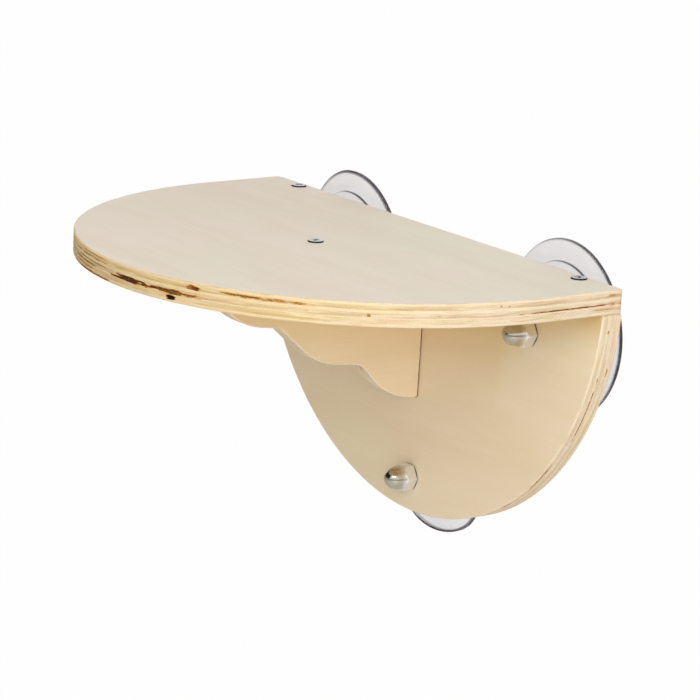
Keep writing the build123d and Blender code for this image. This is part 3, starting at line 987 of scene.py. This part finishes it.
# How far the hexagon's sides are from the axis in each direction
hexagon = nut_half_flats / np.cos((turns + math.pi / 6) % (math.pi / 3) - math.pi / 6)
nut_corner_radius = nut_half_flats / math.cos(math.pi / 6)
seat_drop = (nut_corner_radius - nut_half_flats) * math.tan(math.radians(nut_seat_angle))
top_drop = (nut_corner_radius - nut_dome_foot_radius) * math.tan(math.radians(nut_top_angle))
lean = math.radians(nut_dome_lean)
bore = stud_radius + nut_bore_clearance
for side in cup_sides:
    low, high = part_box("cap_nut_" + side)
    height = high.y - low.y
    dome_turns = np.linspace(0, math.pi / 2 - lean, nut_dome_points)[:, None]
    dome = nut_crown_radius * np.concatenate((np.sin(dome_turns), np.cos(dome_turns)), -1)
    dome += (0, height - nut_crown_radius)
    dome_foot = dome[-1, 0] + (dome[-1, 1] - nut_hex_height) * math.tan(lean)
    body = rounded_path(
        (dome[-1], (dome_foot, nut_hex_height), (nut_corner_radius, nut_hex_height - top_drop),
         (nut_corner_radius, seat_drop), (nut_half_flats, 0), (bore + nut_bore_chamfer, 0),
         (bore, nut_bore_chamfer), (bore, nut_bore_depth), (0, nut_bore_depth + bore / 2)),
        nut_roundings, nut_step,
    )
    profile = np.concatenate((dome, body[1:]))
    outside = np.arange(len(profile)) < len(dome) + np.argmin(np.abs(body[:, 1]))
    in_bore = ~outside & (profile[:, 1] > nut_thread_start) & (profile[:, 0] > nut_thread_edge * bore)
    radius, y = profile[:, 0] + 0 * turns, high.y - profile[:, 1] + 0 * turns
    root = in_bore * (1 - thread_ridge(turns, y, thread_pitch))
    forging = np.minimum(np.minimum(radius, hexagon), nut_corner_radius - nut_corner_blunting)
    radius = np.where(outside, forging, radius - thread_depth * root)
    centre = box_middle("cap_nut_" + side, (0, 2))
    # A painted contact shadow at the seat, where the nut meets the board
    seat_shadow = outside * (1 - smooth_step((high.y - y) / seat_drop, *seat_shade_span))
    polished = smooth_step(high.y - y, nut_hex_height - top_drop, height - nut_crown_radius)
    made = skin("domed_cap_nut_" + side, around_y(centre, radius, turns, y), nickel,
                grime=np.maximum(seat_shadow, root) * nut_painted_shade, forged=outside * (1 - polished))
    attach(made, "nut_" + side)
    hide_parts("cap_nut_" + side)

# The studio: a plain pale floor well below the perch, which hangs on its window, so that its shadow
# falls out of the picture. The room is white all round, with soft boxes in front and above.
floor_z = -0.6
floor_half = 30
floor_glow = 0.985
room_light = 0.43
# The black screen that polished metal mirrors: its direction in degrees, its two edges as the
# cosines of the angles from its middle at which it starts and is full, and the folds in its edges
screen_azimuth = -42
screen_elevation = 20
screen_edges = (0.74, 0.8)
screen_darkness = 0.97
screen_fold_depth = 0.5
screen_folds = 4.0
# The camera's direction from the perch and its roll, in degrees, its distance, lens and aim
camera_azimuth = 54.848
camera_elevation = 13.843
camera_roll = 2.557
camera_distance = 1.7123
camera_lens = 178.45
sensor_width = 36
aim = Vector((0.0162, -0.0748, -0.0526))
# Each soft box: its direction in degrees, its distance and size, its power in watts, and whether
# polished metal mirrors it or it hangs behind a diffuser too broad to make a highlight
soft_boxes = {
    "key": (45, 38, 1.7, 1.2, 9, True),
    "fill": (64, 15, 1.9, 1.6, 20, False),
    "top": (30, 78, 1.7, 1.2, 7, False),
}


def direction(azimuth, elevation):
    """The unit vector towards an azimuth, from -Y towards +X, and an elevation, in degrees."""
    azimuth, elevation = math.radians(azimuth), math.radians(elevation)
    level = math.cos(elevation)
    return Vector((math.sin(azimuth) * level, -math.cos(azimuth) * level, math.sin(elevation)))


def facing(back, roll):
    """The turn that points an object's -Z against back, level and then rolled, from its three axes."""
    right = Vector((0, 0, 1)).cross(back).normalized()
    up = back.cross(right)
    tilt = math.radians(roll)
    axes = right * math.cos(tilt) + up * math.sin(tilt), up * math.cos(tilt) - right * math.sin(tilt), back
    return Matrix(axes).transposed().to_4x4()


camera = bpy.data.objects.new("camera", bpy.data.cameras.new("camera"))
camera.data.sensor_width = sensor_width
camera.data.lens = camera_lens
back = direction(camera_azimuth, camera_elevation)
camera.matrix_world = Matrix.Translation(aim + back * camera_distance) @ facing(back, camera_roll)
bpy.context.scene.collection.objects.link(camera)
bpy.context.scene.camera = camera
bpy.context.scene.view_settings.view_transform = "Standard"

for name, (azimuth, elevation, distance, size, power, mirrored) in soft_boxes.items():
    lamp = bpy.data.lights.new(name, "AREA")
    lamp.shape = "SQUARE"
    lamp.size = size
    lamp.energy = power
    box = bpy.data.objects.new(name, lamp)
    back = direction(azimuth, elevation)
    box.matrix_world = Matrix.Translation(aim + back * distance) @ facing(back, 0)
    box.visible_glossy = mirrored
    bpy.context.scene.collection.objects.link(box)

corners = np.array(((-1, -1, 0), (1, -1, 0), (1, 1, 0), (-1, 1, 0))) * floor_half + (0, 0, floor_z)
floor_mesh = bpy.data.meshes.new("floor")
floor_mesh.from_pydata(corners.tolist(), [], [(0, 1, 2, 3)])
floor = bpy.data.objects.new("floor", floor_mesh)
bpy.context.scene.collection.objects.link(floor)
material, add = new_material("matt_white_floor")
# Where the camera looks at it, the floor glows to plain white but for the little that keeps its shadow
path = add("LightPath")
seen = add("Math", {0: path.outputs["Is Camera Ray"], 1: path.outputs["Is Transmission Ray"]},
           operation="MAXIMUM")
share = add("Math", {0: seen, 1: floor_glow}, operation="MULTIPLY")
paint = add("BsdfDiffuse", {"Color": linear("#f2f2f2")})
glow = add("Emission", {"Color": linear("#ffffff"), "Strength": 1.0})
mixed = add("MixShader", {0: share, 1: paint, 2: glow})
add("OutputMaterial", {"Surface": mixed})
floor_mesh.materials.append(material)
floor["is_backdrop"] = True

world = bpy.data.worlds.new("white_room")
bpy.context.scene.world = world
world.use_nodes = True
world.node_tree.nodes.clear()
add = partial(add_node, world.node_tree)
# Where it is looked at, also in metal or through vinyl, the room is plain white. Its light is dimmer
# and warmer, and polished metal sees the black screen in it too.
path = add("LightPath")
seen = path.outputs["Is Camera Ray"]
for ray in ("Is Transmission Ray", "Is Glossy Ray"):
    seen = add("Math", {0: seen, 1: path.outputs[ray]}, operation="MAXIMUM")
strength = add("MapRange", {"Value": seen, "To Min": room_light, "To Max": 1.0})
place = add("TexCoord").outputs["Generated"]
screen = add("VectorMath", {0: place, 1: direction(screen_azimuth, screen_elevation)},
             operation="DOT_PRODUCT")
folds = add("TexNoise", {"Vector": place, "Scale": screen_folds, "Detail": 2.0})
ragged = add("Math", {0: folds, 1: screen_fold_depth, 2: screen.outputs["Value"]},
             operation="MULTIPLY_ADD")
covered = add("MapRange", {
    "Value": ragged, "From Min": screen_edges[0] + screen_fold_depth / 2,
    "From Max": screen_edges[1] + screen_fold_depth / 2, "To Max": screen_darkness
})
dark = add("Math", {0: covered, 1: path.outputs["Is Glossy Ray"]}, operation="MULTIPLY")
lit = add("Math", {0: 1.0, 1: dark}, operation="SUBTRACT")
strength = add("Math", {0: strength, 1: lit}, operation="MULTIPLY")
shade = add("Mix", {0: seen, 6: linear("#fff1de"), 7: linear("#ffffff")}, data_type="RGBA")
room = add("Background", {"Color": shade.outputs[2], "Strength": strength})
add("OutputWorld", {"Surface": room})

size = {"cad": [list(corner) for corner in cad_box], "visual": [list(corner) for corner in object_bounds()]}
